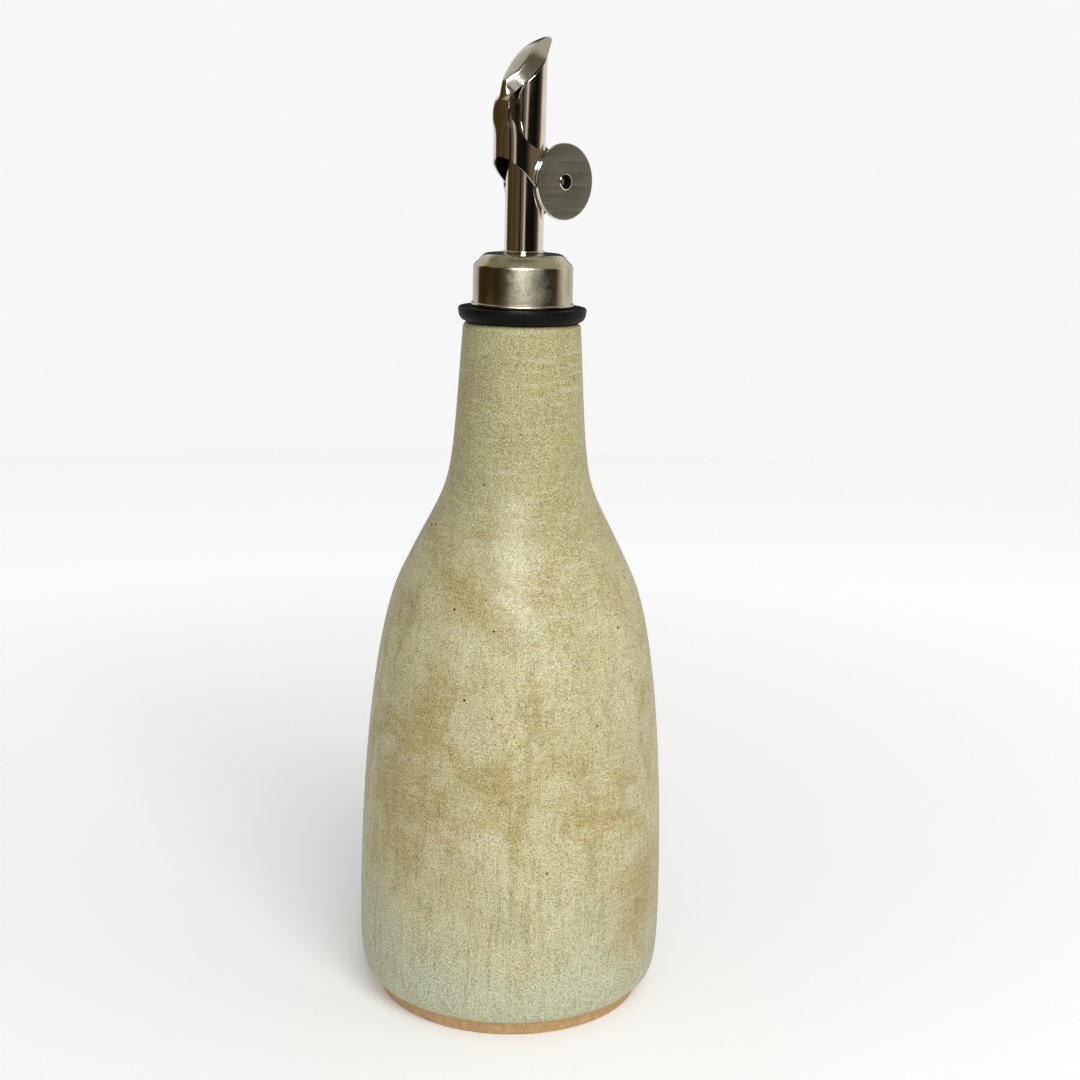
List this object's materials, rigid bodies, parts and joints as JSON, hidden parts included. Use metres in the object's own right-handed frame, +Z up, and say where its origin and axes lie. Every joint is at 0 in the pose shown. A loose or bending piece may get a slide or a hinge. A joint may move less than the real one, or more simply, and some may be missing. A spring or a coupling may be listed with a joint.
{
  "type": "oil bottle with flip-lid pourer",
  "caption": "Stoneware kitchen oil bottle with a long neck, a ribbed rubber stopper and a steel pour tube whose counterweighted lid opens when it tilts.",
  "frame": {"origin": "centre of the foot, on the surface that the bottle stands on", "axes": "+Z up along the bottle, +X to the side where the discs hang and towards which it pours"},
  "size_m": [0.083, 0.083, 0.2565],
  "materials": {
    "glaze": "satin",
    "rubber": "matte",
    "polished_steel": "polished",
    "brushed_steel": "satin"
  },
  "bodies": {
    "bottle": {"bottle": "glaze"},
    "pourer": {"rubber_stopper": "rubber", "collar_cap": "polished_steel", "tube_base_ring": "polished_steel", "pour_tube": "polished_steel", "air_vent_tube": "polished_steel", "hinge_knuckle": "polished_steel"},
    "flap": {"flap": "polished_steel", "hinge_pin": "polished_steel", "disc_weight_near": "brushed_steel", "disc_weight_far": "brushed_steel", "rivet": "polished_steel", "spacer_sleeve": "polished_steel"}
  },
  "joints": [
    {"name": "stopper_lift", "type": "slide", "parent": "bottle", "child": "pourer", "axis": [0, 0, 1], "range_m": [0, 0.08]},
    {"name": "flap_hinge", "type": "hinge", "parent": "pourer", "child": "flap", "pos_m": [-0.0066, 0, 0.2298], "axis": [0, -1, 0], "range_deg": [0, 40]}
  ]
}
